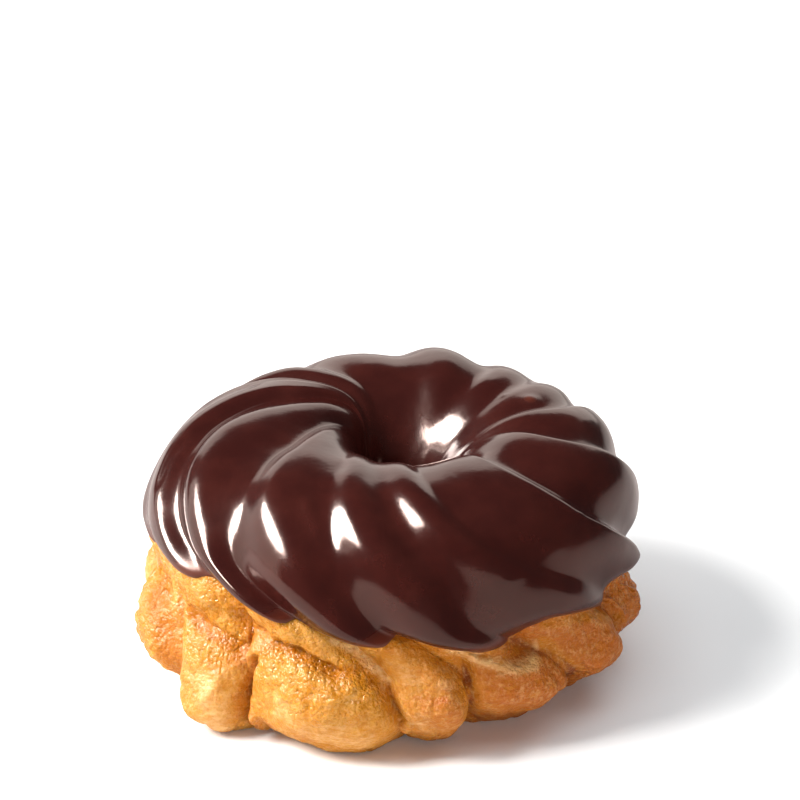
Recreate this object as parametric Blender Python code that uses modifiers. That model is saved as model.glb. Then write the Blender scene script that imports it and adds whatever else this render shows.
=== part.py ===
"""Iced cruller: a ring of choux dough piped through a star nozzle, twisted and fried, with its top half
dipped in chocolate icing. Metres, +Z up, resting on z = 0 with the hole upright, icing on top."""

import math

import bmesh
import bpy
import numpy as np

# Every length below is in millimetres; MM turns it into metres where it reaches a mesh.
MM = 0.001

# The ring is a tube bent round the hole, squarer underneath than on top. The angle v goes round the
# tube: -90 at the bottom, 0 outside, 90 on top, 180 in the hole and 270 at the bottom again.
RING_RADIUS = 24.6
TUBE_OUTWARD = 15.2
TUBE_OUTWARD_LOW = 17.2
TUBE_INWARD = 13.9
TUBE_HEIGHT = 20.2
TUBE_CENTRE_Z = 19.6
SIDE_POWER = 0.85
TOP_POWER = 0.80
LOW_SIDE_POWER = 0.65
LOW_TOP_POWER = 0.68
# The hole isn't in the middle of the ring, its throat leans back to the front left, and the left side of
# its rim hangs over it.
HOLE_SHIFT = (2.6, 4.6)
THROAT_SHIFT = (-2.6, -2.6)
LIP = 3.2
LIP_AZIMUTH = 185.0
# From the middle of the ring to the middle of the finished doughnut.
CENTRE_SHIFT = (-0.44, 0.04)

# The piped ridges stand proud of the tube by CREST, and a waist runs round the outside below the icing.
CREST = 1.6
WAIST_DEPTH = 1.6
WAIST_Z = 19.0
WAIST_HALF_WIDTH = 4.0

# The icing: a coat that fills the grooves a little, and ends part-way down the hole.
ICING_THICKNESS = 1.5
ICING_GAP = 0.3
ICING_LEAST = 0.7
ICING_INNER_END = 196.0

# The ridges, each with the groove before it, counter-clockwise from the left side. One row for each.
# Azimuth of the groove where v is -50, 10, 50, 90 and 140: the twist differs from ridge to ridge.
GROOVE_AZIMUTH = np.array([
    [213, 192, 168, 158, 127],
    [234, 227, 203, 176, 131],
    [272, 248, 226, 211, 142],
    [290, 270, 255, 248, 230],
    [326, 297, 278, 264, 250],
    [343, 324, 293, 284, 278],
    [362, 349, 326, 315, 312],
    [388, 378, 359, 346, 350],
    [414, 403, 388, 372, 362],
    [438, 425, 406, 396, 385],
    [463, 450, 431, 417, 411],
    [489, 475, 455, 446, 440],
    [515, 505, 497, 485, 462],
    [543, 530, 514, 507, 482],
])
# Depth of the groove low down, at the icing's edge, on the shoulder, on top and at the hole's rim.
GROOVE_DEPTH = np.array([
    [2.6, 2.0, 0.8, 0.0, 0.0],
    [3.8, 3.0, 2.6, 2.0, 0.8],
    [3.6, 3.0, 2.4, 2.0, 0.8],
    [3.4, 2.8, 2.2, 1.2, 0.0],
    [3.2, 1.8, 0.7, 0.0, 0.0],
    [2.8, 1.8, 0.7, 0.8, 0.2],
    [3.2, 4.2, 3.0, 2.0, 0.8],
    [3.2, 2.4, 2.4, 1.8, 0.8],
    [3.0, 2.0, 1.5, 1.2, 0.6],
    [3.0, 1.6, 1.0, 0.8, 0.4],
    [3.0, 2.0, 1.7, 1.4, 0.1],
    [3.0, 2.4, 1.8, 1.0, 0.0],
    [3.0, 2.6, 2.2, 1.4, 0.3],
    [3.0, 2.8, 2.4, 1.8, 0.8],
])
# Where the crest is between two grooves, on the side and on top, and its added height on top.
CREST_PLACE = np.array([
    [0.60, 0.15],
    [0.62, 0.25],
    [0.62, 0.28],
    [0.66, 0.35],
    [0.65, 0.50],
    [0.75, 0.75],
    [0.78, 0.80],
    [0.75, 0.75],
    [0.60, 0.60],
    [0.50, 0.50],
    [0.50, 0.50],
    [0.50, 0.50],
    [0.50, 0.45],
    [0.55, 0.40],
])
CREST_ADDED = [0.2, 0.2, 0.2, 0.0, 0.2, 0.2, 0.0, 0.0, -0.4, -0.2, 1.2, 0.2, 0.0, 0.0]
# The icing's edge: its height at the groove and at the drip, where the drip is along the ridge, and
# how late the edge sinks to it.
ICING_EDGE = [
    (27.6, 25.4, 0.92, 2.0),
    (27.8, 23.7, 0.92, 2.4),
    (25.9, 21.8, 0.88, 1.3),
    (23.8, 19.4, 0.62, 0.7),
    (22.0, 20.2, 0.75, 2.0),
    (23.2, 21.3, 0.45, 1.0),
    (23.0, 21.3, 0.80, 1.5),
    (23.0, 21.5, 0.80, 1.5),
    (23.0, 21.5, 0.80, 1.5),
    (23.5, 22.0, 0.80, 1.5),
    (24.0, 22.5, 0.80, 1.5),
    (24.5, 23.0, 0.80, 1.5),
    (25.4, 24.0, 0.85, 1.5),
    (26.4, 25.0, 0.90, 1.8),
]
# The lobe below the icing: how far it puffs out, the height of the fold above it, and how far its foot
# spreads out or is drawn in.
LOBE = [
    (1.4, 17.0, 6.0),
    (1.4, 16.0, 0.5),
    (0.4, 15.0, -4.0),
    (0.8, 14.0, -7.0),
    (0.8, 14.0, -6.5),
    (0.0, 15.0, -6.0),
    (0.0, 15.0, 0.0),
    (0.0, 15.0, 0.0),
    (0.0, 15.0, 0.0),
    (0.4, 15.0, 0.0),
    (0.6, 15.0, 0.0),
    (0.6, 15.0, 0.0),
    (1.0, 17.0, 0.0),
    (2.4, 18.0, -4.0),
]
RIDGE_COUNT = len(GROOVE_AZIMUTH)

# The mesh: a torus whose columns follow the twisted ridges, and whose rows crowd under the icing.
COLUMNS_PER_RIDGE = 6
COLUMNS = COLUMNS_PER_RIDGE * RIDGE_COUNT
ROWS_BELOW = 8
ROWS_ICED = 13
ROWS_INSIDE = 7
ROWS = ROWS_BELOW + ROWS_ICED + ROWS_INSIDE


def smooth(x):
    """Goes from 0 to 1 with no kink at either end."""
    x = np.clip(x, 0.0, 1.0)
    return x * x * (3.0 - 2.0 * x)


def signed_power(x, power):
    return np.sign(x) * np.abs(x) ** power


def section(v):
    """Distance from the ring's axis and height of the plain tube, at tube angle v in degrees."""
    c = np.cos(np.radians(v))
    s = np.sin(np.radians(v))
    outward = TUBE_OUTWARD + (TUBE_OUTWARD_LOW - TUBE_OUTWARD) * smooth(-v / 30.0)
    half_width = np.where(c > 0.0, outward, TUBE_INWARD)
    low = smooth(-s / 0.5)
    side_power = SIDE_POWER + (LOW_SIDE_POWER - SIDE_POWER) * low
    top_power = TOP_POWER + (LOW_TOP_POWER - TOP_POWER) * low
    rho = RING_RADIUS + half_width * signed_power(c, side_power)
    return rho, TUBE_CENTRE_Z + TUBE_HEIGHT * signed_power(s, top_power)


def section_normal(v):
    rho_1, z_1 = section(v - 0.06)
    rho_2, z_2 = section(v + 0.06)
    length = np.hypot(rho_2 - rho_1, z_2 - z_1) + 1e-9
    return (z_2 - z_1) / length, (rho_1 - rho_2) / length


def rounded(v, stations, values):
    """Values given at a few tube angles, joined by curves that don't overshoot."""
    step = np.diff(stations)
    slope = np.diff(values) / step
    tangent = np.zeros(len(stations))
    for i in range(1, len(stations) - 1):
        if slope[i - 1] * slope[i] > 0.0:
            tangent[i] = 2.0 * slope[i - 1] * slope[i] / (slope[i - 1] + slope[i])
    i = np.clip(np.searchsorted(stations, v, side="right") - 1, 0, len(step) - 1)
    h = step[i]
    t = (v - stations[i]) / h
    start = (1.0 + 2.0 * t) * (1.0 - t) ** 2 * values[i] + t * (1.0 - t) ** 2 * h * tangent[i]
    end = t * t * (3.0 - 2.0 * t) * values[i + 1] + t * t * (t - 1.0) * h * tangent[i + 1]
    return start + end


STATIONS = np.array([-90.0, -50.0, -20.0, 10.0, 50.0, 90.0, 140.0, 190.0, 270.0])


def groove_azimuth(k, v):
    """Azimuth in degrees of the groove before ridge k. Underneath it unwinds to where it began."""
    low, edge, shoulder, top, rim = GROOVE_AZIMUTH[k]
    stations = [low + 1, low, 0.85 * low + 0.15 * edge, edge, shoulder, top, rim, rim - 2, low + 1]
    return rounded(v, STATIONS, np.array(stations))


def groove_depth(k, v):
    low, edge, shoulder, top, rim = GROOVE_DEPTH[k]
    stations = [0.8, low, low, edge, shoulder, top, rim, 0.3, 0.8]
    return rounded(v, STATIONS, np.array(stations))


def crest_place(k, v):
    """Where the crest of ridge k is, as a share of the way from its first groove to its second."""
    side, top = CREST_PLACE[k]
    place = side + (top - side) * smooth((v - 20.0) / 60.0)
    middling = smooth((-v - 20.0) / 30.0) + smooth((v - 140.0) / 50.0)
    return place + (0.5 - place) * middling


def column_azimuth(k, t, v):
    first = groove_azimuth(k, v)
    turn = 360.0 if k == RIDGE_COUNT - 1 else 0.0
    second = groove_azimuth((k + 1) % RIDGE_COUNT, v) + turn
    return first + (second - first) * t


def crest_to_surface(k, t, v, dough):
    """How far the surface is below the crest line. Dough has sharp grooves, and icing fills them."""
    crest = crest_place(k, v)
    before = t < crest
    away = np.where(before, (crest - t) / crest, (t - crest) / (1.0 - crest))
    depth = np.where(before, groove_depth(k, v), groove_depth((k + 1) % RIDGE_COUNT, v))
    if dough:
        return depth * away ** (1.7 + 0.9 * smooth(-v / 30.0))
    return 0.9 * depth * (0.5 - 0.5 * np.cos(math.pi * away ** 1.15))


def blended(values, k, t):
    """A value given for each ridge, true in its middle and blended from one to the next."""
    if t < 0.5:
        share = smooth(t + 0.5)
        return values[k - 1] * (1.0 - share) + values[k] * share
    share = smooth(t - 0.5)
    return values[k] * (1.0 - share) + values[(k + 1) % RIDGE_COUNT] * share


def crest_added(k, t, v):
    """Ridges that rise higher than the rest over the top."""
    return blended(CREST_ADDED, k, t) * smooth(1.0 - np.abs((v - 80.0) / 70.0))


def lobe_puff(k, t, v, z):
    """The swelling of a lobe below its fold, and of its foot."""
    puff, fold_z = LOBE[k][:2]
    foot = blended([lobe[2] for lobe in LOBE], k, t)
    across = 1.0 - abs((t - 0.5) / 0.5) ** 3
    below_fold = np.clip((fold_z + 1.5 * math.sin(7.0 * t + k) - z) / 6.0, 0.0, 1.0)
    rise = np.sqrt(1.0 - (1.0 - below_fold) ** 2)
    outside = np.clip(np.cos(np.radians(v)) + 0.2, 0.0, 1.0)
    return (puff * rise * across + foot * smooth((11.0 - z) / 10.0)) * outside


def placed(azimuth, v, out, sideways):
    """Points that stand out from the plain tube by out, and away from the hole by sideways."""
    rho, z = section(v)
    normal_rho, normal_z = section_normal(v)
    above_base = 1.0 - smooth((v - 200.0) / 60.0)
    facing = np.clip(np.cos(np.radians(azimuth - LIP_AZIMUTH)), 0.0, 1.0)
    lip = LIP * facing**1.5 * smooth((v - 50.0) / 80.0) * above_base
    rho = rho + normal_rho * out + sideways - lip
    z = z + normal_z * out
    inward = 0.5 - 0.5 * np.cos(np.radians(v))
    throat = smooth((v - 105.0) / 75.0) * above_base
    shift_x = HOLE_SHIFT[0] * inward + THROAT_SHIFT[0] * throat - CENTRE_SHIFT[0]
    shift_y = HOLE_SHIFT[1] * inward + THROAT_SHIFT[1] * throat - CENTRE_SHIFT[1]
    x = rho * np.cos(np.radians(azimuth)) + shift_x
    y = rho * np.sin(np.radians(azimuth)) + shift_y
    return np.stack([x, y, np.maximum(z, 0.0)], axis=-1)


def icing_edge_angle(k, t):
    """Tube angle of the icing's lower edge: it sinks along each ridge to a drip, then steps up."""
    groove_z, drip_z, drip_at, lateness = ICING_EDGE[k]
    following_z = ICING_EDGE[(k + 1) % RIDGE_COUNT][0]
    if t < drip_at:
        z = groove_z + (drip_z - groove_z) * (t / drip_at) ** lateness
    else:
        z = drip_z + (following_z - drip_z) * smooth((t - drip_at) / (1.0 - drip_at))
    share = (z - TUBE_CENTRE_Z) / TUBE_HEIGHT
    return math.degrees(math.asin(signed_power(share, 1.0 / TOP_POWER)))


def dough_out(k, t, v):
    z = section(v)[1]
    waist = WAIST_DEPTH * np.exp(-(((z - WAIST_Z) / WAIST_HALF_WIDTH) ** 2))
    waist = waist * np.clip(np.cos(np.radians(v)), 0.0, 1.0)
    return CREST + crest_added(k, t, v) - crest_to_surface(k, t, v, True) - waist


def icing_out(k, t, v):
    return CREST + crest_added(k, t, v) - crest_to_surface(k, t, v, False) + ICING_THICKNESS


def column_rows(edge):
    """Tube angles down one column: the icing's edge and its end in the hole each get a row."""
    below = np.linspace(-90.0, edge, ROWS_BELOW + 1)[:-1]
    iced = np.linspace(edge, ICING_INNER_END, ROWS_ICED + 1)[:-1]
    inside = np.linspace(ICING_INNER_END, 270.0, ROWS_INSIDE + 1)[:-1]
    return np.concatenate([below, iced, inside])


def ridged_torus(name, gap):
    """A torus drawn onto the dough's surface, or gap outside it. Returns it and the icing's depth there."""
    bpy.ops.mesh.primitive_torus_add(
        major_segments=COLUMNS,
        minor_segments=ROWS,
        major_radius=RING_RADIUS * MM,
        minor_radius=TUBE_OUTWARD * MM,
        location=(0.0, 0.0, 0.0),
    )
    body = bpy.context.active_object
    body.name = name
    body.data.name = name
    points = np.zeros((COLUMNS, ROWS, 3))
    thickness = np.zeros((COLUMNS, ROWS))
    for column in range(COLUMNS):
        k, step = divmod(column, COLUMNS_PER_RIDGE)
        t = step / COLUMNS_PER_RIDGE
        v = column_rows(icing_edge_angle(k, t))
        out = dough_out(k, t, v)
        sideways = lobe_puff(k, t, v, section(v)[1])
        points[column] = placed(column_azimuth(k, t, v), v, out + gap, sideways)
        thickness[column] = np.maximum(icing_out(k, t, v) - out - gap, ICING_LEAST)
    body.data.vertices.foreach_set("co", (points * MM).ravel())
    body.data.update()
    for face in body.data.polygons:
        face.use_smooth = True
    return body, thickness.ravel()


def painted(body, name, colour, roughness):
    material = bpy.data.materials.new(name)
    material.use_nodes = True
    shader = material.node_tree.nodes["Principled BSDF"]
    shader.inputs["Base Color"].default_value = (*colour, 1.0)
    shader.inputs["Roughness"].default_value = roughness
    body.data.materials.append(material)


for leftover in list(bpy.data.objects):
    bpy.data.objects.remove(leftover)

# Dough: the whole ring, flat where its lobes rest.
dough, _ = ridged_torus("dough", 0.0)
painted(dough, "fried_dough", (0.70, 0.36, 0.11), 0.55)

# Icing: the iced rows of the same ring, just clear of the dough, thickened outwards.
icing, thickness = ridged_torus("icing", ICING_GAP)
group = icing.vertex_groups.new(name="thickness")
most = float(thickness.max())
for index, value in enumerate(thickness):
    group.add([index], float(value) / most, "REPLACE")

shell = bmesh.new()
shell.from_mesh(icing.data)
bare = []
for face in shell.faces:
    rows = [corner.index % ROWS for corner in face.verts]
    if min(rows) < ROWS_BELOW or max(rows) > ROWS_BELOW + ROWS_ICED:
        bare.append(face)
bmesh.ops.delete(shell, geom=bare, context="FACES")
shell.to_mesh(icing.data)
shell.free()

coat = icing.modifiers.new("coat", "SOLIDIFY")
coat.thickness = most * MM
coat.offset = 1.0
coat.vertex_group = group.name
coat.use_rim = True
painted(icing, "chocolate_icing", (0.060, 0.016, 0.010), 0.20)

collection = bpy.data.collections.new("iced_cruller")
bpy.context.scene.collection.children.link(collection)
for body in (dough, icing):
    for holder in list(body.users_collection):
        holder.objects.unlink(body)
    collection.objects.link(body)
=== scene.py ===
"""Looks of an iced cruller: a twisted ring of fried choux dough, its top dipped in chocolate icing."""
import math

import bpy
import numpy as np
from mathutils import Euler, Matrix


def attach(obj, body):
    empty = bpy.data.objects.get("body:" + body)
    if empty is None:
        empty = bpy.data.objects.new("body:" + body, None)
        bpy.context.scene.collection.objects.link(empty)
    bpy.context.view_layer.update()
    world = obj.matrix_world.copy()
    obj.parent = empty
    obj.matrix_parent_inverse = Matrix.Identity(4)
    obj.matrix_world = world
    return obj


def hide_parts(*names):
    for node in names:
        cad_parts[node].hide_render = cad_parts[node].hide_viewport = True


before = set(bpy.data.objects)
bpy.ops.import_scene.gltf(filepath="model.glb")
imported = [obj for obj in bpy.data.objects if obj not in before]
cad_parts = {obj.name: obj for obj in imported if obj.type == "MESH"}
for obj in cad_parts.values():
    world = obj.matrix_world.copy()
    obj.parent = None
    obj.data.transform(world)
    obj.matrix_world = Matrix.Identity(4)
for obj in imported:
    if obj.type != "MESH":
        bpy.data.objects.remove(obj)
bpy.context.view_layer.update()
bpy.ops.object.select_all(action="DESELECT")


# ---- Dough -------------------------------------------------------------------------------------------
# One ring of choux dough, piped through a star nozzle with a twist and fried. Below the icing the piped
# ridges end in puffed lobes that fold over each other, with a blistered, slightly oily crust.

# Lengths are in millimetres until MM turns them into metres. The ring is a tube bent round the hole, and
# the angle v goes round the tube: -90 below, 0 outside, 90 on top, 180 in the hole, 270 below again.
MM = 0.001
RING_RADIUS = 24.6
TUBE_OUTWARD = 15.2
TUBE_OUTWARD_LOW = 17.2
TUBE_INWARD = 13.9
TUBE_HEIGHT = 20.2
TUBE_CENTRE_Z = 19.6
SIDE_POWER = 0.85
TOP_POWER = 0.80
LOW_SIDE_POWER = 0.65
LOW_TOP_POWER = 0.68
HOLE_SHIFT = (2.6, 4.6)
THROAT_SHIFT = (-4.0, -2.6)
LIP = 4.6
LIP_AZIMUTH = 185.0
CENTRE_SHIFT = (-0.44, 0.04)
CREST = 1.6
WAIST_DEPTH = 1.6
WAIST_Z = 19.0
WAIST_HALF_WIDTH = 4.0

# The ridges, each with the groove before it, counter-clockwise from the left side. One row for each.
# Azimuth of the groove where v is -50, -10, 10, 30, 50, 90 and 140.
GROOVE_AZIMUTH = [
    [213, 208, 194, 174, 160, 140, 121],
    [234, 232, 230, 208, 191, 154, 124],
    [272, 269, 248, 230, 225, 208, 147],
    [290, 287, 267, 258, 253, 243, 222],
    [326, 310, 289, 283, 275, 263, 250],
    [343, 337, 324, 305, 292, 280, 274],
    [362, 358, 349, 337, 326, 315, 312],
    [388, 385, 378, 368, 359, 346, 350],
    [414, 411, 403, 395, 388, 372, 362],
    [438, 434, 425, 415, 406, 397, 387],
    [463, 460, 450, 441, 431, 417, 411],
    [489, 485, 475, 465, 455, 446, 440],
    [515, 512, 505, 497, 488, 478, 466],
    [543, 540, 530, 514, 504, 495, 480],
]
# Depth of the groove low down, at the icing's edge, on the shoulder, on top and at the hole's rim.
GROOVE_DEPTH = [
    [2.6, 0.8, 0.5, 0.0, 0.0],
    [3.8, 3.0, 2.6, 1.7, 0.2],
    [3.6, 3.0, 2.4, 1.8, 0.4],
    [3.4, 2.8, 2.0, 1.0, 0.0],
    [3.2, 2.0, 2.1, 1.1, 0.1],
    [2.8, 1.8, 0.8, 0.8, 0.2],
    [3.2, 4.2, 3.0, 2.0, 0.8],
    [3.2, 2.4, 2.2, 1.6, 0.4],
    [3.0, 2.0, 1.5, 1.1, 0.2],
    [3.0, 1.6, 1.0, 0.7, 0.1],
    [3.0, 2.0, 1.7, 1.4, 0.1],
    [3.0, 2.4, 1.8, 1.0, 0.0],
    [3.0, 2.6, 2.0, 1.0, 0.0],
    [3.0, 2.8, 2.2, 1.3, 0.2],
]
# Where the crest is between two grooves, on the side and on top, and its added height on top.
CREST_PLACE = np.array([
    [0.60, 0.40],
    [0.62, 0.42],
    [0.62, 0.42],
    [0.60, 0.45],
    [0.68, 0.58],
    [0.75, 0.75],
    [0.78, 0.80],
    [0.75, 0.75],
    [0.60, 0.60],
    [0.50, 0.50],
    [0.50, 0.50],
    [0.50, 0.50],
    [0.50, 0.45],
    [0.55, 0.40],
])
CREST_ADDED = np.array([0.2, 0.2, 0.2, 0.0, 0.2, 0.2, 0.0, 0.0, -0.4, -0.2, 1.2, 0.2, 0.0, 0.0])
# The lobe below the icing: how far it puffs out, the height of the fold above it, and how far its foot
# spreads out or is drawn in.
LOBE = np.array([
    [1.4, 17.0, 6.0],
    [0.4, 16.0, 0.5],
    [0.4, 15.0, -4.0],
    [0.4, 14.0, -7.0],
    [0.8, 14.0, -6.5],
    [0.0, 15.0, -6.0],
    [0.0, 15.0, 0.0],
    [0.0, 15.0, 0.0],
    [0.0, 15.0, 0.0],
    [0.4, 15.0, 0.0],
    [0.6, 15.0, 0.0],
    [0.6, 15.0, 0.0],
    [1.0, 17.0, 0.0],
    [2.4, 18.0, -4.0],
])
RIDGES = len(GROOVE_AZIMUTH)
COLUMNS_PER_RIDGE = 40

# Folds, as azimuth and height along each: below the line the dough bulges over what is above it.
FOLDS = [
    (1.8, 2.2, [(235, 19.6), (242, 18.8), (246, 18.4), (250, 17.8), (254, 16.4), (257, 15.7), (260, 16.2),
                (263, 15.8), (266, 14.2), (269, 11.5), (272, 8.0)]),
    (0.9, 2.4, [(279, 22.4), (283, 21.4), (287, 19.8), (291, 18.4), (296, 17.0), (300, 16.3), (304, 16.2),
                (307, 17.4)]),
    (0.6, 1.8, [(274, 12.6), (279, 13.0), (283, 13.4), (288, 13.2)]),
    (1.0, 1.8, [(306, 21.4), (313, 20.9), (319, 20.2), (325, 19.0), (332, 16.6)]),
    (0.8, 2.2, [(380, 15.0), (392, 13.5), (404, 15.0)]),
    (0.9, 2.2, [(446, 16.5), (455, 14.0), (470, 14.5), (480, 16.5)]),
    (0.7, 2.0, [(522, 17.0), (532, 15.5), (540, 17.0)]),
]
# Creases: depth, half width and the line that each follows. A negative depth is a raised welt.
CREASES = [
    (1.2, 0.8, [(237, 19.4), (242, 19.0), (246, 18.6), (250, 18.0), (254, 16.8), (257, 16.0)]),
    (-1.2, 1.2, [(240, 19.6), (236, 17.4), (233, 15.2), (230, 13.5), (229, 12.0), (227, 8.5)]),
    (2.4, 0.9, [(236.5, 15.5), (235, 13.7), (233.5, 10.5), (232.5, 7.8), (233, 5.0), (234, 1.0)]),
    (1.2, 2.0, [(195, 17.5), (199, 15.5), (203, 13.5), (206, 10.0), (207, 7.0)]),
    (1.2, 1.0, [(214, 18.2), (220, 17.7), (224, 17.1), (229, 16.0)]),
    (1.0, 1.5, [(230, 21.0), (232, 19.0), (233, 17.5), (231, 15.5)]),
    (1.3, 0.9, [(285.5, 18.6), (287, 17.2), (288, 15.5), (289, 12.6), (289, 9.4), (288, 5.5)]),
    (0.9, 1.0, [(309, 16.8), (311, 15.2), (314, 13.7), (316.5, 11.7), (319, 9.4), (323, 5.0)]),
    (-1.7, 0.7, [(333, 18.6), (337, 17.4), (339, 15.4), (341, 12.0)]),
    (-1.8, 0.8, [(236, 5.0), (235.5, 1.0)]),
    (0.6, 0.9, [(296, 9.0), (303, 7.2), (310, 8.2)]),
    (0.7, 1.0, [(352, 13.0), (360, 10.0), (368, 9.0)]),
    (0.7, 1.0, [(420, 14.0), (428, 11.0), (434, 8.0)]),
    (0.8, 1.0, [(498, 15.0), (506, 11.5), (511, 8.0)]),
]
# Where the crust is blistered: azimuth, height, half width in millimetres, and how strongly.
BLISTERED = [
    (195, 18, 6, 1.0), (193, 12, 5, 0.8), (199, 9, 4, 0.6), (223, 24.5, 7, 1.0), (213, 20, 5, 0.9),
    (222, 15.5, 4, 0.9), (229, 18, 3, 0.7), (243, 16, 4, 1.0), (250, 14.8, 4.5, 1.0), (258, 14, 5, 1.0),
    (264, 13.5, 3, 1.0), (246, 21, 5, 0.5), (346, 15, 6, 1.0), (340, 13, 3, 0.8), (400, 15, 8, 0.6),
    (470, 17, 9, 0.7), (520, 14, 8, 0.7),
]
# Painted shade in orange along the creases and hollows and just under the icing's overhang, and a paler crust
# with painted light on ledges and crests: half width, strength and line.
ORANGE_SHADE_LINES = [
    (2.0, 1.0, [(195, 17.5), (199, 15.5), (203, 13.5), (206, 10.0), (208, 5.0)]),
    (1.4, 0.9, [(212, 18.5), (216, 18.0), (221, 17.5), (228, 16.3)]),
    (2.2, 1.0, [(230, 21.5), (232, 19.0), (233, 17.0), (231, 15.0)]),
    (1.3, 1.0, [(236, 15.5), (234, 11.0), (233, 7.0), (234, 3.0)]),
    (3.0, 0.8, [(234, 4.0), (240, 3.0)]),
    (1.0, 0.9, [(238, 19.3), (244, 18.8), (250, 17.8), (257, 15.8), (263, 17.0), (268, 13.5), (271, 8.0)]),
    (2.4, 1.0, [(269, 22.4), (274, 21.0), (280, 19.2), (286, 17.0), (288, 13.0), (288.5, 7.0)]),
    (1.5, 0.9, [(309, 17.0), (312, 14.9), (316, 12.0), (319, 9.0), (322, 5.0)]),
    (1.2, 0.7, [(308, 20.6), (316, 20.0), (325, 18.4), (332, 16.0)]),
    (2.0, 0.6, [(352, 12.0), (362, 9.0), (372, 10.0)]),
    (2.0, 0.6, [(400, 13.0), (408, 11.0), (414, 8.0)]),
    (2.0, 0.6, [(440, 13.0), (450, 11.0), (462, 12.0)]),
    (2.0, 0.6, [(498, 14.0), (505, 11.0), (511, 8.0)]),
]
# The pale lines: a paler crust low on the lobes, and painted light along the ledge under the icing and along crests
# that face the lamps.
PALE_AND_PAINTED_LIGHT_LINES = [
    (1.5, 0.8, [(283, 20.6), (287, 18.9), (291, 17.4), (296, 16.0), (300, 15.3), (304, 15.2), (307, 16.4)]),
    (1.1, 0.8, [(255, 21.4), (259, 19.8), (264, 17.2), (269, 14.6)]),
    (2.6, 0.5, [(272, 16.0), (277, 15.0), (283, 14.6)]),
    (3.4, 0.7, [(225, 11.0), (228, 7.0), (228, 3.0)]),
    (3.4, 0.6, [(244, 10.0), (252, 7.0), (264, 6.0)]),
    (1.0, 0.6, [(239, 19.4), (235, 16.8), (231, 14.0), (229, 11.5)]),
    (3.0, 0.5, [(274, 9.0), (280, 6.0)]),
    (2.5, 0.5, [(418, 12.0), (428, 8.0), (436, 7.0)]),
    (2.5, 0.5, [(530, 14.0), (536, 9.0), (538, 5.0)]),
]
OUTSIDE_RADIUS = 41.5


def smooth(x):
    """Goes from 0 to 1 with no kink at either end."""
    x = np.clip(x, 0.0, 1.0)
    return x * x * (3.0 - 2.0 * x)


def signed_power(x, power):
    return np.sign(x) * np.abs(x) ** power


def section(v):
    """Distance from the ring's axis and height of the plain tube, at tube angle v in degrees."""
    c = np.cos(np.radians(v))
    s = np.sin(np.radians(v))
    outward = TUBE_OUTWARD + (TUBE_OUTWARD_LOW - TUBE_OUTWARD) * smooth(-v / 30.0)
    half_width = np.where(c > 0.0, outward, TUBE_INWARD)
    low = smooth(-s / 0.5)
    side_power = SIDE_POWER + (LOW_SIDE_POWER - SIDE_POWER) * low
    top_power = TOP_POWER + (LOW_TOP_POWER - TOP_POWER) * low
    rho = RING_RADIUS + half_width * signed_power(c, side_power)
    return rho, TUBE_CENTRE_Z + TUBE_HEIGHT * signed_power(s, top_power)


def section_normal(v):
    rho_1, z_1 = section(v - 0.06)
    rho_2, z_2 = section(v + 0.06)
    length = np.hypot(rho_2 - rho_1, z_2 - z_1) + 1e-9
    return (z_2 - z_1) / length, (rho_1 - rho_2) / length


def rounded(v, stations, values):
    """Values given at a few tube angles, joined by curves that don't overshoot."""
    step = np.diff(stations)
    slope = np.diff(values) / step
    tangent = np.zeros(len(stations))
    for i in range(1, len(stations) - 1):
        if slope[i - 1] * slope[i] > 0.0:
            tangent[i] = 2.0 * slope[i - 1] * slope[i] / (slope[i - 1] + slope[i])
    i = np.clip(np.searchsorted(stations, v, side="right") - 1, 0, len(step) - 1)
    h = step[i]
    t = (v - stations[i]) / h
    start = (1.0 + 2.0 * t) * (1.0 - t) ** 2 * values[i] + t * (1.0 - t) ** 2 * h * tangent[i]
    end = t * t * (3.0 - 2.0 * t) * values[i + 1] + t * t * (t - 1.0) * h * tangent[i + 1]
    return start + end


STATIONS = np.array([-90.0, -50.0, -10.0, 10.0, 30.0, 50.0, 90.0, 140.0, 190.0, 270.0])


def of_ridges(rows, k, v):
    """A value that each ridge gives at the stations, read at tube angle v of ridge k."""
    found = np.empty(v.shape)
    for ridge, row in enumerate(rows):
        here = k == ridge
        found[here] = rounded(v[here], STATIONS, np.array(row, float))
    return found


AZIMUTH_ROWS = [
    [low + 1, low, waist, edge, above, shoulder, top, rim, rim - 2, low + 1]
    for low, waist, edge, above, shoulder, top, rim in GROOVE_AZIMUTH
]
DEPTH_ROWS = [
    [0.8, low, low, edge, 0.5 * (edge + shoulder), shoulder, top, rim, 0.3, 0.8]
    for low, edge, shoulder, top, rim in GROOVE_DEPTH
]


def following(k):
    return (k + 1) % RIDGES


def column_azimuth(k, t, v):
    first = of_ridges(AZIMUTH_ROWS, k, v)
    second = of_ridges(AZIMUTH_ROWS, following(k), v) + np.where(k == RIDGES - 1, 360.0, 0.0)
    return first + (second - first) * t


def crest_place(k, v):
    """Where the crest of a ridge is, as a share of the way from its first groove to its second."""
    side, top = CREST_PLACE[k, 0], CREST_PLACE[k, 1]
    place = side + (top - side) * smooth((v - 20.0) / 60.0)
    middling = smooth((-v - 20.0) / 30.0) + smooth((v - 140.0) / 50.0)
    return place + (0.5 - place) * middling


def groove_share(k, t, v):
    """0 on the crest and 1 in the grooves, and the depth of the nearer groove."""
    crest = crest_place(k, v)
    before = t < crest
    away = np.where(before, (crest - t) / crest, (t - crest) / (1.0 - crest))
    depth = np.where(before, of_ridges(DEPTH_ROWS, k, v), of_ridges(DEPTH_ROWS, following(k), v))
    return away, depth


def blended(values, k, t):
    """A value given for each ridge, true in its middle and blended from one to the next."""
    x = t - 0.5
    near = np.where(x < 0.0, (k - 1) % RIDGES, k)
    share = smooth(np.where(x < 0.0, x + 1.0, x))
    return values[near] * (1.0 - share) + values[following(near)] * share


def crest_added(k, t, v):
    return blended(CREST_ADDED, k, t) * smooth(1.0 - np.abs((v - 80.0) / 70.0))


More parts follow.
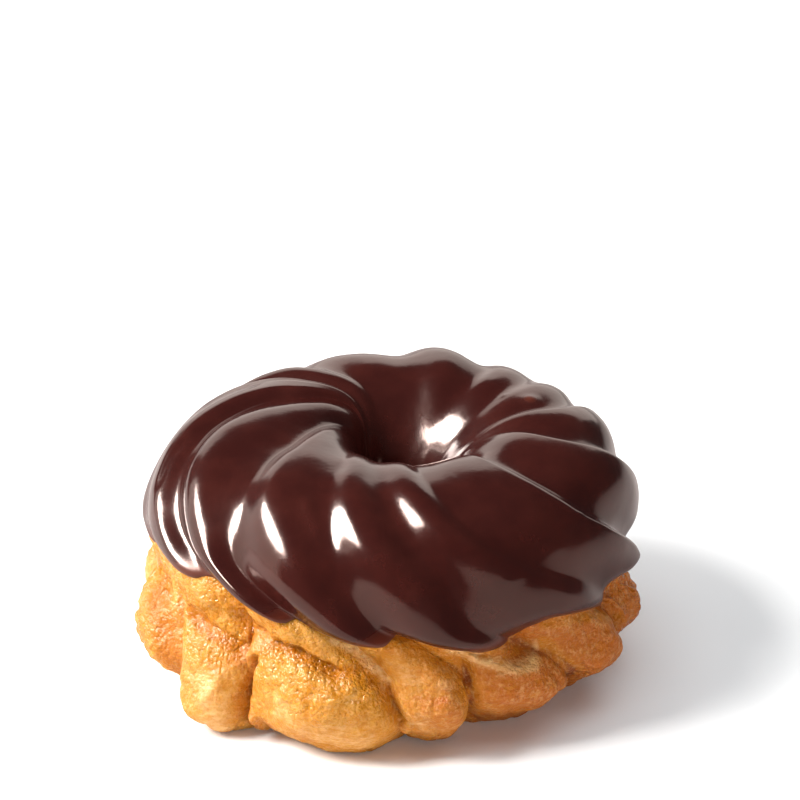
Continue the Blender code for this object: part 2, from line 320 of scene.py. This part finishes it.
def lobe_puff(k, t, v, z):
    """The swelling of a lobe below its fold, and of its foot."""
    across = 1.0 - np.abs((t - 0.5) / 0.5) ** 3
    below_fold = np.clip((LOBE[k, 1] + 1.5 * np.sin(7.0 * t + k) - z) / 6.0, 0.0, 1.0)
    rise = np.sqrt(1.0 - (1.0 - below_fold) ** 2)
    outside = np.clip(np.cos(np.radians(v)) + 0.2, 0.0, 1.0)
    foot = blended(LOBE[:, 2], k, t) * smooth((11.0 - z) / 10.0)
    return (LOBE[k, 0] * rise * across + foot) * outside


def placed(azimuth, v, out, sideways):
    """Points that stand out from the plain tube by out, and away from the hole by sideways."""
    rho, z = section(v)
    normal_rho, normal_z = section_normal(v)
    above_base = 1.0 - smooth((v - 200.0) / 60.0)
    facing = np.clip(np.cos(np.radians(azimuth - LIP_AZIMUTH)), 0.0, 1.0)
    lip = LIP * facing**1.5 * smooth((v - 45.0) / 68.0) * above_base
    rho = rho + normal_rho * out + sideways - lip
    z = z + normal_z * out
    inward = 0.5 - 0.5 * np.cos(np.radians(v))
    throat = smooth((v - 105.0) / 75.0) * above_base
    shift_x = HOLE_SHIFT[0] * inward + THROAT_SHIFT[0] * throat - CENTRE_SHIFT[0]
    shift_y = HOLE_SHIFT[1] * inward + THROAT_SHIFT[1] * throat - CENTRE_SHIFT[1]
    x = rho * np.cos(np.radians(azimuth)) + shift_x
    y = rho * np.sin(np.radians(azimuth)) + shift_y
    return np.stack([x, y, z], axis=-1)


def line_offset(azimuth, z, line):
    """Distance to a line on the outside of the ring, and how far below the line a point is."""
    line = np.array(line, float)
    turns = np.round((line[0, 0] - azimuth) / 360.0)
    across = np.radians(azimuth + 360.0 * turns) * OUTSIDE_RADIUS
    line_across = np.radians(line[:, 0]) * OUTSIDE_RADIUS
    distance = np.full(azimuth.shape, 1e9)
    for i in range(len(line) - 1):
        run = np.array([line_across[i + 1] - line_across[i], line[i + 1, 1] - line[i, 1]])
        along = ((across - line_across[i]) * run[0] + (z - line[i, 1]) * run[1]) / (run @ run)
        along = np.clip(along, 0.0, 1.0)
        gap = np.hypot(across - line_across[i] - along * run[0], z - line[i, 1] - along * run[1])
        distance = np.minimum(distance, gap)
    below = np.interp(across, line_across, line[:, 1]) - z
    ends = smooth(1.0 - np.maximum(line_across[0] - across, across - line_across[-1]) / 3.0)
    return distance, below, ends


def scattered(cells, channel):
    """A random number from 0 to 1 for each cell of space, the same on every run."""
    h = (cells[..., 0] * 73856093) ^ (cells[..., 1] * 19349663) ^ (cells[..., 2] * 83492791)
    h = (h ^ (channel * 668265263)) & 0xFFFFFFFF
    h = ((h ^ (h >> 15)) * 739982445) & 0xFFFFFFFF
    h = ((h ^ (h >> 12)) * 695872825) & 0xFFFFFFFF
    return (h ^ (h >> 15)) / 4294967295.0


def lumps(points, size, channel):
    """Smooth random relief from -1 to 1, with lumps of this size."""
    place = points / size
    cell = np.floor(place).astype(np.int64)
    part = smooth(place - cell)
    total = np.zeros(points.shape[:-1])
    for corner in np.ndindex(2, 2, 2):
        weight = np.prod(np.where(np.array(corner) == 1, part, 1.0 - part), axis=-1)
        total += weight * scattered(cell + np.array(corner), channel)
    return 2.0 * total - 1.0


def blisters(points, size, channel):
    """Domes scattered over the surface, 0 between them and up to 1 on top."""
    place = points / size
    cell = np.floor(place).astype(np.int64)
    height = np.zeros(points.shape[:-1])
    for corner in np.ndindex(3, 3, 3):
        near = cell + np.array(corner) - 1
        centre = near + np.stack([scattered(near, channel + i) for i in range(3)], axis=-1)
        radius = 0.28 + 0.42 * scattered(near, channel + 3)
        apart = np.linalg.norm(place - centre, axis=-1) / radius
        height = np.maximum(height, radius * np.sqrt(np.clip(1.0 - apart**2, 0.0, 1.0)))
    return height


def surface_normals(points):
    """Outward directions of a grid of points that is closed round the hole."""
    round_hole = np.roll(points, -1, axis=0) - np.roll(points, 1, axis=0)
    round_tube = np.gradient(points, axis=1)
    normal = np.cross(round_hole, round_tube)
    return normal / (np.linalg.norm(normal, axis=-1, keepdims=True) + 1e-12)


def dough_out(k, t, v):
    z = section(v)[1]
    away, depth = groove_share(k, t, v)
    waist = WAIST_DEPTH * np.exp(-(((z - WAIST_Z) / WAIST_HALF_WIDTH) ** 2))
    waist = waist * np.clip(np.cos(np.radians(v)), 0.0, 1.0)
    fall = depth * away ** (1.7 + 0.9 * smooth(-v / 30.0))
    return CREST + crest_added(k, t, v) - fall - waist


def folded(azimuth, v):
    """How far the folds, creases and welts move the dough out or in."""
    z = section(v)[1]
    outside = smooth((np.cos(np.radians(v)) - 0.1) / 0.3)
    out = np.zeros(azimuth.shape)
    for rise, reach, line in FOLDS:
        distance, below, ends = line_offset(azimuth, z, line)
        bulge = np.sqrt(1.0 - (1.0 - np.clip(distance / reach, 0.0, 1.0)) ** 2)
        bulge = bulge * np.exp(-((distance / 9.0) ** 2))
        tuck = -0.45 * np.exp(-((distance / 1.1) ** 2))
        out += rise * ends * np.where(below > 0.0, bulge + tuck, tuck)
    for depth, half_width, line in CREASES:
        distance, _, _ = line_offset(azimuth, z, line)
        out -= depth * np.exp(-((distance / half_width) ** 2))
    return out * outside


def spotted(spots, azimuth, z):
    """How strongly a list of spots covers each point of the outside."""
    amount = np.zeros(azimuth.shape)
    for centre, height, half_width, strength in spots:
        apart = (azimuth - centre + 180.0) % 360.0 - 180.0
        gap = np.hypot(np.radians(apart) * OUTSIDE_RADIUS, z - height) / half_width
        amount = np.maximum(amount, strength * np.exp(-(gap**2)))
    return amount


def drawn(lines, azimuth, z):
    """How strongly a list of lines covers each point of the outside."""
    amount = np.zeros(azimuth.shape)
    for half_width, strength, line in lines:
        distance = line_offset(azimuth, z, line)[0]
        amount = np.maximum(amount, strength * np.exp(-((distance / half_width) ** 2)))
    return amount


def rolled_ring(name, points, layers):
    """A grid rolled up both ways into a ring, with a named value at each point for its material."""
    columns, rows = points.shape[:2]
    bpy.ops.object.select_all(action="DESELECT")
    bpy.ops.mesh.primitive_grid_add(x_subdivisions=columns, y_subdivisions=rows, size=2.0 * RING_RADIUS * MM)
    body = bpy.context.active_object
    body.name = name
    body.data.name = name
    closed = np.pad(points, ((0, 1), (0, 1), (0, 0)), mode="wrap").transpose(1, 0, 2)
    body.data.vertices.foreach_set("co", (closed * MM).ravel())
    for layer, values in layers.items():
        attribute = body.data.attributes.new(layer, "FLOAT", "POINT")
        attribute.data.foreach_set("value", np.pad(values, ((0, 1), (0, 1)), mode="wrap").T.ravel())
    bpy.ops.object.mode_set(mode="EDIT")
    bpy.ops.mesh.select_all(action="SELECT")
    bpy.ops.mesh.remove_doubles(threshold=1e-6)
    bpy.ops.mesh.normals_make_consistent(inside=False)
    bpy.ops.object.mode_set(mode="OBJECT")
    bpy.ops.object.shade_smooth()
    return body


class Shade:
    """One output of a shader node, so that shader maths reads as plain sums."""

    def __init__(self, tree, socket=None):
        self.tree = tree
        self.socket = socket

    def node(self, kind, settings=None, sockets=None, output=0):
        made = self.tree.nodes.new("ShaderNode" + kind)
        for name, value in (settings or {}).items():
            if name == "stops":
                ramp = made.color_ramp.elements
                while len(ramp) < len(value):
                    ramp.new(0.5)
                for stop, (place, colour) in zip(ramp, value):
                    stop.position = place
                    stop.color = (*colour, 1.0)
            else:
                setattr(made, name, value)
        for name, value in (sockets or {}).items():
            if isinstance(value, Shade):
                self.tree.links.new(value.socket, made.inputs[name])
            else:
                made.inputs[name].default_value = value
        return Shade(self.tree, made.outputs[output])

    def maths(self, operation, *values):
        return self.node("Math", {"operation": operation}, dict(enumerate(values)))

    def __add__(self, other):
        return self.maths("ADD", self, other)

    __radd__ = __add__

    def __sub__(self, other):
        return self.maths("SUBTRACT", self, other)

    def __rsub__(self, other):
        return self.maths("SUBTRACT", other, self)

    def __mul__(self, other):
        return self.maths("MULTIPLY", self, other)

    __rmul__ = __mul__

    def step(self, low, high):
        """0 below low and 1 above high, with a smooth rise between."""
        sockets = {"Value": self, "From Min": low, "From Max": high}
        return self.node("MapRange", {"interpolation_type": "SMOOTHSTEP"}, sockets)

    def mix(self, first, second):
        """The first colour where this is 0 and the second where it is 1."""
        sockets = {0: self, 6: first, 7: second}
        return self.node("Mix", {"data_type": "RGBA"}, sockets, 2)


def rgb(red, green, blue):
    return (red, green, blue, 1.0)


def new_material(name, fixed):
    """A material with constant values on its shader, and the start for shader maths."""
    material = bpy.data.materials.new(name)
    material.use_nodes = True
    shader = material.node_tree.nodes["Principled BSDF"]
    for socket, value in fixed.items():
        shader.inputs[socket].default_value = value
    return material, shader, Shade(material.node_tree)


def feed(shader, shade, socket):
    shade.tree.links.new(shade.socket, shader.inputs[socket])


# The rows crowd outside and underneath, where the dough shows, and spread out below the icing.
dough_rows = np.concatenate([
    np.linspace(-90.0, 32.0, 116)[:-1],
    np.linspace(32.0, 188.0, 22)[:-1],
    np.linspace(188.0, 270.0, 40)[:-1],
])
columns = np.arange(RIDGES * COLUMNS_PER_RIDGE)
ridge = np.repeat((columns // COLUMNS_PER_RIDGE)[:, None], len(dough_rows), axis=1)
across = np.repeat(((columns % COLUMNS_PER_RIDGE) / COLUMNS_PER_RIDGE)[:, None], len(dough_rows), axis=1)
v = np.repeat(dough_rows[None], len(columns), axis=0)
azimuth = column_azimuth(ridge, across, v)
plain_z = section(v)[1]
sideways = lobe_puff(ridge, across, v, plain_z)
crust = placed(azimuth, v, dough_out(ridge, across, v) + folded(azimuth, v), sideways)
shows = 1.0 - smooth((v - 8.0) / 14.0) * (1.0 - smooth((v - 190.0) / 10.0))
rough = spotted(BLISTERED, azimuth, plain_z)
bubbles = blisters(crust, 1.20, 11)
relief = 0.60 * lumps(crust, 7.0, 1) + 0.36 * lumps(crust, 3.4, 2) + 0.12 * lumps(crust, 1.6, 3)
relief = relief - 0.45 * (1.0 - np.abs(lumps(crust, 5.5, 5))) ** 8
relief = relief + (0.15 + 0.75 * rough) * bubbles + 0.20 * rough * lumps(crust, 2.2, 4)
crust = crust + surface_normals(crust) * (relief * shows)[..., None]
crust[..., 2] = np.maximum(crust[..., 2], 0.0)
away, depth = groove_share(ridge, across, v)
creases = np.clip(-folded(azimuth, v) / 1.2, 0.0, 1.0)
# The groove layer marks the hollows of the grooves and creases, where the material paints shade. The blister layer
# marks the domes; on the blistered crust the material paints shade between them.
layers = {
    "groove": np.clip(away**5 * 0.8 + creases, 0.0, 1.0),
    "blister": np.clip(bubbles * 1.3, 0.0, 1.0),
    "oily": np.clip(rough, 0.0, 1.0),
    "orange": drawn(ORANGE_SHADE_LINES, azimuth, plain_z),
    "pale": drawn(PALE_AND_PAINTED_LIGHT_LINES, azimuth, plain_z),
}
dough = rolled_ring("fried_dough_ring", crust, layers)

# Crust: golden to pale yellow on the left and browner to the right, partly its own tone and partly painted shade
# on the side away from the lamps. Painted shade in orange and dark brown in the creases, between the blisters and
# just under the icing, and painted light in cream on ledges and crests. Fine pores all over and a film of oil on
# the blisters.
# The orange serves as the crust's own mottle and as painted shade in the hollows; the darkest brown is only painted
# shade deep in the grooves; the cream serves as mottle and as painted light on ledges and crests.
GOLDEN = rgb(0.45, 0.165, 0.008)
PALE = rgb(0.54, 0.250, 0.040)
ORANGE = rgb(0.41, 0.128, 0.004)
BROWN = rgb(0.34, 0.080, 0.005)
PAINTED_GROOVE_SHADE = rgb(0.19, 0.032, 0.003)
CREAM = rgb(0.64, 0.35, 0.13)

material, shader, start = new_material("fried_dough", {
    "Roughness": 0.5,
    "IOR": 1.45,
    "Specular IOR Level": 0.32,
    "Subsurface Weight": 0.20,
    "Subsurface Radius": (1.0, 0.40, 0.12),
    "Subsurface Scale": 0.0010,
})
place = start.node("TexCoord", output=3)
x = start.node("SeparateXYZ", {}, {0: place})
upright = start.node("VectorMath", {"operation": "MULTIPLY"}, {0: place, 1: (1.0, 1.0, 0.25)})
lying = start.node("VectorMath", {"operation": "MULTIPLY"}, {0: place, 1: (0.35, 0.35, 1.0)})
patches = start.node("TexNoise", {}, {"Vector": place, "Scale": 130.0, "Detail": 3.0, "Roughness": 0.6})
blotches = start.node("TexNoise", {}, {"Vector": place, "Scale": 480.0, "Detail": 3.0, "Roughness": 0.6})
mottle = start.node("TexNoise", {}, {"Vector": place, "Scale": 1500.0, "Detail": 2.0, "Roughness": 0.7})
strands = start.node("TexNoise", {}, {"Vector": upright, "Scale": 1100.0, "Detail": 2.0, "Roughness": 0.7})
brushed = start.node("TexNoise", {}, {"Vector": lying, "Scale": 1300.0, "Detail": 2.0, "Roughness": 0.7})
froth = start.node("TexVoronoi", {"feature": "F1"}, {"Vector": place, "Scale": 1300.0})
beads = start.node("TexVoronoi", {"feature": "F1"}, {"Vector": place, "Scale": 2600.0})
groove, blister, oily, orange, pale = (
    start.node("Attribute", {"attribute_name": name}, output=2)
    for name in ("groove", "blister", "oily", "orange", "pale")
)

# Browner towards the right: partly a browner crust, partly painted shade on the side that faces away from the lamps.
browner_and_shaded = (x * 22.0 + patches * 0.8).step(-0.05, 1.10)
fine = mottle * 0.7 + blotches * 0.3
colour = (patches * 0.5 + blotches * 0.7).step(0.42, 0.80).mix(GOLDEN, PALE)
colour = (browner_and_shaded * 0.95 + (brushed - 0.5) * browner_and_shaded * 1.4).step(0.0, 1.0).mix(colour, BROWN)
# Orange along the orange lines: painted shade in the creases and hollows and under the icing's overhang.
colour = (orange + (fine - 0.5) * 1.2).step(0.15, 0.85).mix(colour, ORANGE)
# Orange in the grooves and creases, and between the blisters on the blistered crust: painted shade in the hollows.
colour = (groove * 0.9 + (1.0 - blister) * oily * 0.30 - patches * 0.2).step(0.1, 0.9).mix(colour, ORANGE)
# Cream along the pale lines: a paler crust low down, and painted light on ledges and crests.
colour = (pale + (brushed - 0.5) * 1.0).step(0.35, 0.95).mix(colour, CREAM)
# Dark brown deep in the grooves, more so on the right: painted shade.
colour = (groove * (browner_and_shaded + 0.3)).step(0.45, 1.1).mix(colour, PAINTED_GROOVE_SHADE)
colour = ((fine + strands * 0.4).step(0.66, 0.88) * 0.34).mix(colour, CREAM)
colour = ((fine + strands * 0.4).step(0.72, 0.52) * 0.36).mix(colour, ORANGE)
feed(shader, colour, "Base Color")
feed(shader, (oily * 0.8 + blotches * 0.5).step(0.15, 0.75) * -0.45 + 0.57, "Roughness")
domes = froth * froth * -1.1 - beads * beads * 0.5
streaks = brushed * browner_and_shaded * 0.35 + strands * (1.0 - browner_and_shaded) * 0.25
grain = domes * (oily * 0.30 + 0.30) + mottle * 0.30 + blotches * 0.40 + streaks
bump = start.node("Bump", {}, {"Strength": 1.0, "Distance": 0.0006, "Height": grain})
feed(shader, bump, "Normal")
dough.data.materials.append(material)

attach(dough, "root")
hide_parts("dough")


# ---- Icing -------------------------------------------------------------------------------------------
# One coat of chocolate icing, from dipping the top of the ring: it fills the grooves a little, hangs
# down each ridge to a rounded drip, and ends part-way down the hole. A few air bubbles are caught in it.
ICING_THICKNESS = 1.6
ICING_SUNK = 0.35
ICING_LEAST = 1.0
ICING_INNER_END = 196.0
EDGE_ROUNDING = 2.0
ROWS_ROUNDED = 12
ROWS_SMOOTH = 92
ROWS_HIDDEN = 16
# The icing's lower edge, as azimuth and height: it sinks along each ridge to a drip, then steps up.
ICING_EDGE = np.array([
    (196, 26.2), (207, 26.0), (213, 25.6), (218, 25.8), (220, 26.6), (222, 27.0), (229, 25.8), (236, 25.1),
    (241, 24.3), (245, 23.7), (246.5, 24.3), (248, 24.9), (252, 23.1), (255, 22.0), (260, 21.1), (266, 21.5),
    (268.5, 21.6), (270.5, 22.4), (272.0, 23.0), (276, 21.9), (280, 21.1), (284, 20.0), (290, 19.1), (299, 18.8),
    (301, 19.6), (303.5, 21.2), (309, 22.2), (314, 21.6), (321, 20.4), (326, 19.2), (329.5, 18.2), (331, 18.2),
    (332, 20.0), (333, 21.0), (338, 21.2), (343, 20.4), (350, 20.0), (366, 20.6), (375, 21.6), (378, 23.0), (390, 21.8),
    (400, 21.2), (404, 23.0), (416, 22.0), (423, 21.4), (427, 23.2), (440, 22.4), (448, 21.8), (452, 23.6),
    (465, 23.0), (473, 22.4), (477, 24.2), (492, 23.6), (501, 23.0), (505, 25.0), (518, 24.4), (526, 23.8),
    (530, 25.6), (541, 25.0), (553, 24.3), (556, 26.2),
])
# Bubbles: azimuth, tube angle, half width and height.
BUBBLES = [
    (379.5, 92.0, 1.4, 0.60),
    (390.0, 103.0, 0.6, 0.30),
    (321.0, 86.0, 0.5, 0.30),
    (290.0, 87.0, 0.4, 0.20),
    (261.5, 89.0, 0.5, 0.25),
    (214.5, 17.0, 0.6, 0.30),
    (420.0, 60.0, 0.7, 0.25),
    (500.0, 70.0, 0.6, 0.20),
]
# Welts and dents along the ridges: height, half width and the line, as azimuth and tube angle.
WELTS = [
    (0.65, 1.3, [(244.0, 67.0), (248.0, 59.0), (252.4, 47.5), (255.4, 38.0), (259.0, 28.0)]),
    (-0.35, 0.9, [(176.0, 66.0), (179.0, 56.0), (184.0, 46.0), (190.0, 38.0)]),
    (-0.22, 2.4, [(206.0, 72.0), (213.0, 57.0), (217.0, 48.0)]),
    (0.20, 0.8, [(296.9, 27.0), (305.1, 32.0)]),
    (0.20, 0.8, [(305.0, 31.0), (311.4, 34.5)]),
    (0.18, 0.8, [(314.5, 41.0), (321.4, 44.5)]),
]


def line_distance(points, line):
    """Distance of each point to a line through space."""
    distance = np.full(points.shape[:-1], 1e9)
    for start, end in zip(line[:-1], line[1:]):
        run = end - start
        along = np.clip(((points - start) @ run) / (run @ run), 0.0, 1.0)
        distance = np.minimum(distance, np.linalg.norm(points - start - along[..., None] * run, axis=-1))
    return distance


def icing_edge_angle(k, t):
    """Tube angle of the icing's lower edge along a column: the first point that is above the edge."""
    v = np.arange(-15.0, 40.0, 0.25)
    columns_of = np.repeat(k[:, None], len(v), axis=1)
    azimuth = column_azimuth(columns_of, np.repeat(t[:, None], len(v), axis=1), v[None] + 0.0 * columns_of)
    above = section(v)[1] - np.interp(azimuth, ICING_EDGE[:, 0], ICING_EDGE[:, 1], period=360.0)
    first = np.argmax(above > 0.0, axis=1)
    column = np.arange(len(k))
    share = above[column, first] / (above[column, first] - above[column, first - 1])
    angle = v[first] - 0.25 * share
    for _ in range(3):
        angle = (np.roll(angle, 1) + 2.0 * angle + np.roll(angle, -1)) / 4.0
    return angle


def icing_out(k, t, v):
    away, depth = groove_share(k, t, v)
    fall = 0.9 * depth * (0.5 - 0.5 * np.cos(math.pi * away**1.15))
    return CREST + crest_added(k, t, v) - fall + ICING_THICKNESS


# Each column runs from the edge over the top to the end in the hole, then back against the dough. The
# cover is 0 against the dough and 1 on the outside, with a rounded lip at both ends.
k = columns // COLUMNS_PER_RIDGE
t = (columns % COLUMNS_PER_RIDGE) / COLUMNS_PER_RIDGE
edge = icing_edge_angle(k, t)[:, None]
wander = 5.0 * np.sin(np.radians(3.0 * columns * 360.0 / len(columns)))[:, None]
end = ICING_INNER_END + wander
lip_turn = np.degrees(EDGE_ROUNDING / TUBE_OUTWARD)
bend = 1.0 - np.cos(np.linspace(0.0, math.pi / 2.0, ROWS_ROUNDED, endpoint=False))
middle = np.linspace(0.0, 1.0, ROWS_SMOOTH)
back = np.linspace(1.0, 0.0, ROWS_HIDDEN + 2)[1:-1]
v = np.concatenate([
    edge + lip_turn * bend,
    edge + lip_turn + (end - edge - 2.0 * lip_turn) * middle,
    end - lip_turn * bend[::-1],
    edge + (end - edge) * back,
], axis=1)
cover = np.concatenate([
    np.sqrt(1.0 - (1.0 - bend) ** 2),
    np.ones(ROWS_SMOOTH),
    np.sqrt(1.0 - (1.0 - bend[::-1]) ** 2),
    np.zeros(ROWS_HIDDEN),
])[None]
ridge = np.repeat(k[:, None], v.shape[1], axis=1)
across = np.repeat(t[:, None], v.shape[1], axis=1)
azimuth = column_azimuth(ridge, across, v)
under = dough_out(ridge, across, v)
over = np.maximum(icing_out(ridge, across, v), under + ICING_LEAST)
sideways = lobe_puff(ridge, across, v, section(v)[1])
coat = placed(azimuth, v, (under - ICING_SUNK) * (1.0 - cover) + over * cover, sideways)
bubble_height = np.zeros(v.shape)
for bubble_azimuth, bubble_v, half_width, height in BUBBLES:
    centre = placed(np.array(bubble_azimuth), np.array(bubble_v), CREST + ICING_THICKNESS, 0.0)
    gap = np.linalg.norm(coat - centre, axis=-1) / half_width
    bubble_height += height * np.exp(-(gap**2))
relief = 0.16 * lumps(coat, 9.0, 31) + 0.05 * lumps(coat, 3.5, 32) + bubble_height
for height, half_width, line in WELTS:
    centre_line = placed(*np.array(line).T, CREST + ICING_THICKNESS, 0.0)
    relief += height * np.exp(-((line_distance(coat, centre_line) / half_width) ** 2))
coat = coat + surface_normals(coat) * (relief * cover)[..., None]
# Reddish along the lower edge, partly thin icing and partly a painted reflection of the dough beneath, and over the
# bubbles, where the icing is thin.
layers = {
    "thin": np.clip(np.exp(-(((v - edge) / 4.5) ** 2)) + np.abs(bubble_height) * 1.8, 0.0, 1.0),
}
icing = rolled_ring("chocolate_coat", coat, layers)

# Dark chocolate with a soft gloss. Reddish over the bubbles, where it is thin, and along the lower edge, where it
# is thin and also carries a painted reflection of the dough below.
CHOCOLATE = rgb(0.024, 0.0042, 0.0034)
CHOCOLATE_LIGHT = rgb(0.034, 0.0062, 0.0046)
CHOCOLATE_THIN_AND_REFLECTION = rgb(0.075, 0.012, 0.005)

material, shader, start = new_material("chocolate_icing", {
    "Roughness": 0.15,
    "IOR": 1.55,
    "Specular Tint": rgb(1.0, 0.78, 0.70),
})
place = start.node("TexCoord", output=3)
clouds = start.node("TexNoise", {}, {"Vector": place, "Scale": 130.0, "Detail": 4.0, "Roughness": 0.6})
specks = start.node("TexNoise", {}, {"Vector": place, "Scale": 1300.0, "Detail": 2.0})
thin = start.node("Attribute", {"attribute_name": "thin"}, output=2)
colour = clouds.step(0.35, 0.70).mix(CHOCOLATE, CHOCOLATE_LIGHT)
# Reddish at the edge and over the bubbles: thin icing, with a painted reflection of the dough along the edge.
colour = (thin * 0.9).step(0.2, 0.9).mix(colour, CHOCOLATE_THIN_AND_REFLECTION)
feed(shader, colour, "Base Color")
feed(shader, 0.11 + clouds * 0.06 + specks * 0.04 + thin * 0.26, "Roughness")
grain = start.node("TexNoise", {}, {"Vector": place, "Scale": 5200.0, "Detail": 1.0})
bump = start.node("Bump", {}, {"Strength": 0.25, "Distance": 0.0003, "Height": clouds + specks * 0.08 + grain * 0.05})
feed(shader, bump, "Normal")
icing.data.materials.append(material)

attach(icing, "root")
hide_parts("icing")


# ---- Floor, light and camera ---------------------------------------------------------------------------
# A white table that runs out of view, a soft lamp at the front left, a wide soft panel behind, and a faint,
# even surround, as in a small studio.
bpy.ops.object.select_all(action="DESELECT")
bpy.ops.mesh.primitive_plane_add(size=6.0, location=(0.0, 0.0, 0.0))
floor = bpy.context.active_object
floor.name = "table_top"
material, shader, start = new_material("white_table", {
    "Base Color": rgb(0.93, 0.93, 0.93),
    "Roughness": 0.8,
    "Specular IOR Level": 0.2,
})
floor.data.materials.append(material)
floor.visible_glossy = False

# A dimmer, warmer copy of the table that only reflections see, while the white table is hidden from them: painted shade
# on the table where the icing mirrors it.
bpy.ops.object.select_all(action="DESELECT")
bpy.ops.mesh.primitive_plane_add(size=6.0, location=(0.0, 0.0, 0.0002))
mirrored = bpy.context.active_object
mirrored.name = "table_in_reflections"
material, shader, start = new_material("shaded_table_for_reflections", {
    "Base Color": rgb(0.50, 0.44, 0.42),
    "Roughness": 0.8,
})
mirrored.data.materials.append(material)
mirrored.visible_camera = False
mirrored.visible_diffuse = False
mirrored.visible_shadow = False


def panel_light(name, place, aim, width, height, power, colour, roll=0.0):
    bpy.ops.object.light_add(type="AREA", location=place)
    lamp = bpy.context.active_object
    lamp.name = name
    lamp.data.shape = "RECTANGLE"
    lamp.data.size = width
    lamp.data.size_y = height
    lamp.data.energy = power
    lamp.data.color = colour
    run = [a - b for a, b in zip(place, aim)]
    flat = math.hypot(run[0], run[1])
    facing = Euler((math.atan2(flat, run[2]), 0.0, math.atan2(run[0], -run[1]))).to_matrix()
    lamp.rotation_euler = (facing @ Matrix.Rotation(math.radians(roll), 3, "Z")).to_euler()


panel_light("left_lamp", (-0.548, 0.0, 0.511), (0.0, 0.0, 0.02), 0.72, 0.27, 32.0, (1.0, 0.98, 0.96), 8.0)
bpy.context.active_object.data.shape = "ELLIPSE"
bpy.context.active_object.visible_diffuse = False
panel_light("soft_lamp", (-0.52, -0.12, 0.50), (0.0, 0.0, 0.02), 0.34, 0.34, 11.0, (1.0, 0.99, 0.97))
bpy.context.active_object.visible_glossy = False
panel_light("left_panel", (-0.95, 0.10, 0.36), (0.0, 0.0, 0.02), 1.30, 0.80, 5.5, (1.0, 0.94, 0.88))
panel_light("back_panel", (0.05, 1.00, 0.30), (0.0, 0.0, 0.02), 1.20, 0.56, 2.8, (1.0, 0.90, 0.83))
panel_light("low_front_fill", (0.45, -0.90, 0.22), (0.0, 0.0, 0.01), 0.80, 0.40, 4.6, (0.94, 0.97, 1.0))
bpy.context.active_object.visible_glossy = False
panel_light("ceiling_fill", (0.10, 0.0, 0.85), (0.0, 0.0, 0.02), 1.00, 1.00, 5.5, (0.93, 0.97, 1.0))
bpy.context.active_object.visible_glossy = False

world = bpy.data.worlds.new("studio")
bpy.context.scene.world = world
world.use_nodes = True
background = world.node_tree.nodes["Background"]
background.inputs["Strength"].default_value = 0.05
background.inputs["Color"].default_value = rgb(1.0, 1.0, 1.0)
bpy.context.scene.view_settings.view_transform = "Standard"

CAMERA_DISTANCE = 0.520
CAMERA_ELEVATION = 28.0
CAMERA_TILT_DOWN = 23.26
CAMERA_TURN = -0.17
raised = math.radians(CAMERA_ELEVATION)
eye = (0.00044, -CAMERA_DISTANCE * math.cos(raised), CAMERA_DISTANCE * math.sin(raised))
bpy.ops.object.camera_add(location=eye)
camera = bpy.context.active_object
camera.name = "camera"
camera.rotation_euler = (math.radians(90.0 - CAMERA_TILT_DOWN), 0.0, math.radians(CAMERA_TURN))
camera.data.sensor_width = 36.0
camera.data.lens = 134.55
camera.data.clip_start = 0.01
bpy.context.scene.camera = camera
